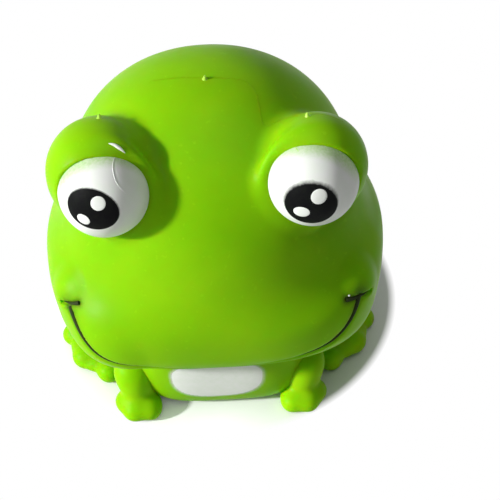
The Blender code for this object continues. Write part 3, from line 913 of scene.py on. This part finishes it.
def soot_at(points):
    """How much soot-grey paint was sprayed on each place of the head."""
    gap, place = line_gap(points, MOUTH_PATH)
    corner = np.abs(2 * place - 1) ** SOOT_POWER
    line_height = np.interp(points[:, 0], MOUTH_PATH[:, 0], MOUTH_PATH[:, 2])
    above = smooth(-SOOT_EDGE, SOOT_EDGE, points[:, 2] - line_height)
    reach = SOOT_REACH + SOOT_CORNER_REACH * corner * (SOOT_UNDER + (1 - SOOT_UNDER) * above)
    soot = (SOOT_MIDDLE + SOOT_CORNER * corner) * np.exp(-((gap / reach) ** 2))
    for path in HOOK_PATHS:
        gap, place = line_gap(points, path)
        reach = HOOK_REACH - HOOK_REACH_LOSS * place
        crease = (HOOK_SOOT - HOOK_SOOT_LOSS * place) * np.exp(-((gap / reach) ** 2))
        soot = np.maximum(soot, crease)
    return soot


def add_head():
    points, faces = box_surface(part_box("head_skin"), head_form, HEAD_CELL, BOX_CELLS)
    head = add_piece("head", points, faces, RUBBER)
    mark(head, "soot", soot_at(points))
    dress(head, "head", "green_rubber", "head_skin", "head_filling")


def add_line(name, path, radii):
    """A line of paint at the bottom of a groove."""
    depth = GROOVE_DEPTH - LINE_PROUD * radii
    points, faces = tube(path - outward(lidded_head, path) * depth[:, None], radii, LINE_SIDES)
    return add_piece(name, points, faces, SOOT_PAINT)


def add_mouth():
    """The painted line of the smile and the crease at each of its ends, lying in their grooves."""
    path = mouth_points(MOUTH_STEPS)
    corner = np.abs(np.linspace(-1, 1, len(path)))
    radii = LINE_THIN + (LINE_THICK - LINE_THIN) * smooth(*LINE_SWELL, corner)
    dress(add_line("mouth_paint", path, radii), "head", "grey_paint", "mouth_line")
    for (name, _), path in zip(SIDES, HOOK_PATHS):
        radii = np.linspace(*HOOK_THICK, len(path))
        dress(add_line(f"{name}_mouth_corner", path, radii), "head", "grey_paint")


def oval_axes(way, tilt):
    """The two directions of an oval that faces a given way, turned by its tilt."""
    right = np.cross((0.0, 0.0, 1.0), way)
    right /= np.linalg.norm(right)
    up = np.cross(way, right)
    return math.cos(tilt) * right + math.sin(tilt) * up, -math.sin(tilt) * right + math.cos(tilt) * up


def disc_on_eye(middle, way, half, tilt, film):
    """A closed oval film of paint on an eye, given by its half angles and its tilt."""
    across, along = oval_axes(way, tilt)
    under = EYE_RADIUS - FILM_SINK * film
    levels = []
    for ring in range(1, DISC_RINGS + 1):
        share = ring / DISC_RINGS
        levels.append((share, EYE_RADIUS + film * (1 - share**FILM_POWER)))
    levels.append((1.0, under))
    points = [middle + way * (EYE_RADIUS + film)]
    for share, radius in levels:
        for step in range(DISC_SIDES):
            angle = 2 * math.pi * step / DISC_SIDES
            offset = half[0] * math.cos(angle) * across + half[1] * math.sin(angle) * along
            turn = np.linalg.norm(offset) * share
            aside = offset / np.linalg.norm(offset)
            points.append(middle + radius * (math.cos(turn) * way + math.sin(turn) * aside))
    points.append(middle + way * under)
    last = len(points) - 1
    faces = flipped(fan_faces(0, 1, DISC_SIDES))
    faces += flipped(ring_faces(1, len(levels), DISC_SIDES))
    faces += fan_faces(last, last - DISC_SIDES, DISC_SIDES)
    return points, faces


def bare_at(points, name, side):
    """How bare of white paint each place on an eye is."""
    ways = np.array(points) - eye_middle(side)
    ways /= np.linalg.norm(ways, axis=1, keepdims=True)
    hood = lid_offset(name, side)
    hood /= np.linalg.norm(hood)
    band = BARE_SHARE * smooth(*BARE_BAND, ways @ hood) * smooth(*BARE_TOP, ways[:, 2])
    return np.maximum(band, smooth(*BARE_BACK, ways @ bearing(POP_SPREAD, POP_RISE, side)))


def add_eye(name, side):
    """An eye with its stem and lip, and the films of paint on it."""
    middle = eye_middle(side)
    arc = np.linspace(0, math.pi - math.asin(STEM_RADIUS / EYE_RADIUS), EYE_STEPS)
    profile = [(EYE_RADIUS * math.sin(angle), EYE_RADIUS * math.cos(angle)) for angle in arc]
    profile += [(STEM_RADIUS, -LIP_FRONT), (LIP_RADIUS, -LIP_FRONT)]
    profile += [(LIP_RADIUS, -STEM_END), (0, -STEM_END)]
    points, faces = turned(profile, middle, bearing(POP_SPREAD, POP_RISE, side), EYE_SIDES)
    (turn, rise), half, tilt = (np.radians(numbers) for numbers in EYE_MARKS[name]["pupil"])
    axes = oval_axes(bearing(turn, rise, side), tilt)
    looks = eye_material(f"{name}_eye_looks", middle, axes, half, PUPIL_SOFTNESS[name])
    eye = add_piece(f"{name}_eye", points, faces, looks)
    mark(eye, "bare", bare_at(points, name, side))
    dress(eye, f"{name}_eye", "white_painted_rubber", f"{name}_eye_bulb")
    for label, values in EYE_MARKS[name].items():
        film, material, slot = FILMS[label]
        (turn, rise), half, tilt = (np.radians(numbers) for numbers in values)
        points, faces = disc_on_eye(middle, bearing(turn, rise, side), half, tilt, film)
        paint = add_piece(f"{name}_{label}_paint", points, faces, material)
        dress(paint, f"{name}_eye", slot, f"{name}_{label}")


def add_eye_flaw(name, side, angles, material, slot):
    """A thin line on an eye, where its paint is creased or cracked."""
    path = curve([bearing(turn, rise, side) for turn, rise in np.radians(angles)])
    path /= np.linalg.norm(path, axis=1, keepdims=True)
    radii = CREASE_RADIUS * tapered(len(path))
    points, faces = tube(eye_middle(side) + path * EYE_RADIUS, radii, THREAD_SIDES)
    dress(add_piece(f"{name}_eye_flaw", points, faces, material), f"{name}_eye", slot)


def spray_at(points):
    """How much white was sprayed on each place of the torso, on the belly patch and just round it."""
    aside = np.abs(points[:, 0] - PATCH_MIDDLE[0]) / PATCH_WIDE
    above = points[:, 2] - PATCH_MIDDLE[1]
    above = np.where(above > 0, above / PATCH_UP, -above / PATCH_DOWN)
    ring = (aside**PATCH_POWER + above**PATCH_POWER) ** (1 / PATCH_POWER)
    front = points[:, 1] < -TORSO_HALF[1] / 2
    return np.where(front, smooth(*PATCH_SPRAY, ring), 0)


def squash(piece):
    """Gives a piece its own copy of its mesh."""
    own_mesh(piece)


def add_torso():
    points, faces = box_surface(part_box("torso_skin"), torso_form, BODY_CELL, BOX_CELLS)
    torso = add_piece("torso", points, faces, RUBBER)
    mark(torso, "white", spray_at(points))
    dress(torso, "base", "green_rubber", "torso_skin", "torso_filling")
    squash(torso)


def add_patch():
    """The film of white paint on the belly, as a closed sheet of rings that thins at its edge."""
    outline = [(0.0, 0.0, 0.0)]
    for ring in range(1, PATCH_RINGS + 1):
        share = ring / PATCH_RINGS
        for step in range(PATCH_SIDES):
            angle = 2 * math.pi * step / PATCH_SIDES
            x, z = math.cos(angle), math.sin(angle)
            size = (abs(x) ** PATCH_POWER + abs(z) ** PATCH_POWER) ** (-1 / PATCH_POWER)
            outline.append((x * size * share, z * size * share, share))
    across, up, share = np.array(outline).T
    start = np.zeros((len(outline), 3))
    start[:, 0] = PATCH_MIDDLE[0] + across * PATCH_WIDE
    start[:, 2] = PATCH_MIDDLE[1] + up * np.where(up > 0, PATCH_UP, PATCH_DOWN)
    skin = on_form(bare_torso, start)
    film = PATCH_FILM * (1 - share**FILM_POWER)
    points = np.concatenate([skin + FORWARD * film[:, None], skin - FORWARD * PATCH_SINK * PATCH_FILM])
    half = len(outline)
    faces = flipped(fan_faces(0, 1, PATCH_SIDES))
    faces += flipped(ring_faces(1, PATCH_RINGS, PATCH_SIDES))
    faces += fan_faces(half, half + 1, PATCH_SIDES)
    faces += ring_faces(half + 1, PATCH_RINGS, PATCH_SIDES)
    rim = half - PATCH_SIDES
    for step in range(PATCH_SIDES):
        after = (step + 1) % PATCH_SIDES
        faces.append((rim + step, half + rim + step, half + rim + after, rim + after))
    patch = add_piece("belly_paint", points, faces, WHITE_PAINT)
    dress(patch, "base", "white_paint", "belly_patch")
    squash(patch)


def add_leg(name, side, kind, leg_form):
    node = f"{name}_{kind}_leg"

    def form(points):
        return leg_form(points, side)

    points, faces = box_surface(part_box(node), form, LEG_CELL, LEG_BOX_CELLS, LEG_BOX_ROOM)
    dress(add_piece(f"{node}_soft", points, faces, LIT_LEG_RUBBER), "base", "green_rubber", node)


def add_marks():
    """The vent nubs with their painted glint and the fine parting ridge that the mould left on the head,
    and white painted highlights on it.
    """
    profile = [(radius * NUB_RADIUS, height * NUB_HEIGHT) for radius, height in NUB_OUTLINE]
    places = np.array(NUB_PLACES)
    ways = outward(lidded_head, places)
    feet = settle(places, lidded_head, HEAD_CELL)
    # Each nub is paler than the head: a painted glint
    for number, (foot, way) in enumerate(zip(feet, ways)):
        points, faces = turned(profile, foot, way, NUB_SIDES)
        dress(add_piece(f"vent_nub_{number}", points, faces, PALE_RUBBER_AND_GLINT), "head", "green_rubber")
    path = on_head(curve(PARTING_POINTS))
    points, faces = tube(path, np.full(len(path), PARTING_RADIUS), THREAD_SIDES)
    dress(add_piece("parting_ridge", points, faces, RUBBER), "head", "green_rubber")
    # These white marks are painted highlights: glints put on the head as white paint
    for name, (corners, radius) in PAINTED_HIGHLIGHTS.items():
        path = on_head(curve(corners))
        points, faces = tube(path, radius * tapered(len(path)), LINE_SIDES)
        dress(add_piece(name, points, faces, WHITE_PAINT), "head", "white_paint")


def add_camera():
    data = bpy.data.cameras.new("camera")
    data.lens = CAMERA_LENS
    data.clip_start = CAMERA_NEAR
    camera = bpy.data.objects.new("camera", data)
    forward = (CAMERA_AIM - CAMERA_PLACE).normalized()
    level = forward.cross(Vector((0, 0, 1))).normalized()
    top = level.cross(forward)
    right = math.cos(CAMERA_ROLL) * level + math.sin(CAMERA_ROLL) * top
    up = right.cross(forward)
    turn = Matrix((right, up, -forward)).transposed().to_4x4()
    camera.matrix_world = Matrix.Translation(CAMERA_PLACE) @ turn
    bpy.context.scene.collection.objects.link(camera)
    bpy.context.scene.camera = camera


def lamp_way(name):
    """The direction of a lamp, seen from the frog."""
    turn, rise, side = LAMPS[name][0]
    return bearing(math.radians(turn), math.radians(rise), side)


def add_lights():
    """The lamps, and a world that is white to look at and dim as a light."""
    for name, (_, width, level) in LAMPS.items():
        data = bpy.data.lights.new(name, "AREA")
        data.shape = "DISK"
        data.size = width
        data.energy = level * (math.pi * LAMP_DISTANCE) ** 2
        lamp = bpy.data.objects.new(name, data)
        way = Vector(lamp_way(name))
        place = way * LAMP_DISTANCE + Vector(SKULL_MIDDLE)
        lamp.matrix_world = Matrix.Translation(place) @ way.to_track_quat("Z", "Y").to_matrix().to_4x4()
        bpy.context.scene.collection.objects.link(lamp)
    world = bpy.data.worlds.new("studio")
    world.use_nodes = True
    bpy.context.scene.world = world
    tree = world.node_tree
    background = tree.nodes["Background"]
    background.inputs["Color"].default_value = (1, 1, 1, 1)
    strength = spread(tree, seen_directly(tree), 0, 1, FILL_LEVEL, 1.0)
    tree.links.new(strength, background.inputs["Strength"])


def seen_directly(tree):
    """1 for rays from the camera, off glossy surfaces or through clear ones, and 0 for other rays."""
    path = add_node(tree, "ShaderNodeLightPath")
    either = number_math(tree, "MAXIMUM", path.outputs["Is Camera Ray"], path.outputs["Is Glossy Ray"])
    return number_math(tree, "MAXIMUM", either, path.outputs["Is Transmission Ray"])


def add_floor():
    """A pale floor that keeps the object's shadow and fades to a white backdrop round it; painted shade
    dims its glow near the object and on the shaded side.
    """
    material, tree, shader = new_material("floor")
    shader.inputs["Roughness"].default_value = FLOOR_ROUGH
    shader.inputs["Specular IOR Level"].default_value = 0.0
    seen = seen_directly(tree)
    paper = spread(tree, noise(tree, FLOOR_CLOUD), *NOISE_SPAN)
    colour = mixed(tree, paper, FLOOR_DULL, FLOOR_PALE)
    tree.links.new(mixed(tree, seen, FLOOR_BOUNCE, colour), shader.inputs["Base Color"])
    # Painted contact shade: the glow is darker where the object hides the floor from the world
    contact_shade = add_node(tree, "ShaderNodeAmbientOcclusion")
    contact_shade.inputs["Distance"].default_value = CONTACT_SHADE_REACH
    glow = times(tree, number_math(tree, "POWER", contact_shade.outputs["AO"], CONTACT_SHADE_POWER), FLOOR_GLOW)
    place = vector_math(tree, "SUBTRACT", own_place(tree), FLOOR_MIDDLE)
    key_way = lamp_way("key")
    # Painted shadow: the glow goes down on the side away from the key lamp
    shaded = vector_math(tree, "DOT_PRODUCT", place, (-key_way[0], -key_way[1], 0.0), "Value")
    glow = times(tree, glow, spread(tree, shaded, *SHADE_FADE, 1.0, SHADE_GLOW))
    shader.inputs["Emission Color"].default_value = (1, 1, 1, 1)
    tree.links.new(times(tree, seen, glow), shader.inputs["Emission Strength"])
    away = vector_math(tree, "LENGTH", place, output="Value")
    backdrop = add_node(tree, "ShaderNodeEmission")
    either = add_node(tree, "ShaderNodeMixShader")
    tree.links.new(times(tree, seen, spread(tree, away, *FLOOR_FADE)), either.inputs["Fac"])
    tree.links.new(shader.outputs["BSDF"], either.inputs[1])
    tree.links.new(backdrop.outputs["Emission"], either.inputs[2])
    tree.links.new(either.outputs["Shader"], tree.nodes["Material Output"].inputs["Surface"])
    corners = np.array(((-1, -1, 0), (1, -1, 0), (1, 1, 0), (-1, 1, 0))) * FLOOR_HALF
    floor = add_piece("floor", corners, [(0, 1, 2, 3)], material)


add_head()
add_mouth()
for eye_name, eye_side in SIDES:
    add_eye(eye_name, eye_side)
add_eye_flaw("right", -1, CREASE, WHITE_PAINT, "white_paint")
add_eye_flaw("left", 1, CRACK, PALE_RUBBER_AND_GLINT, "green_rubber")
add_torso()
add_patch()
for leg_name, leg_side in SIDES:
    add_leg(leg_name, leg_side, "front", front_leg_form)
    add_leg(leg_name, leg_side, "hind", hind_leg_form)
add_marks()
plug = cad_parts["base_plug"]
plug.data.materials.clear()
plug.data.materials.append(RUBBER)
add_camera()
add_lights()
add_floor()
bpy.context.scene.view_settings.view_transform = "Standard"
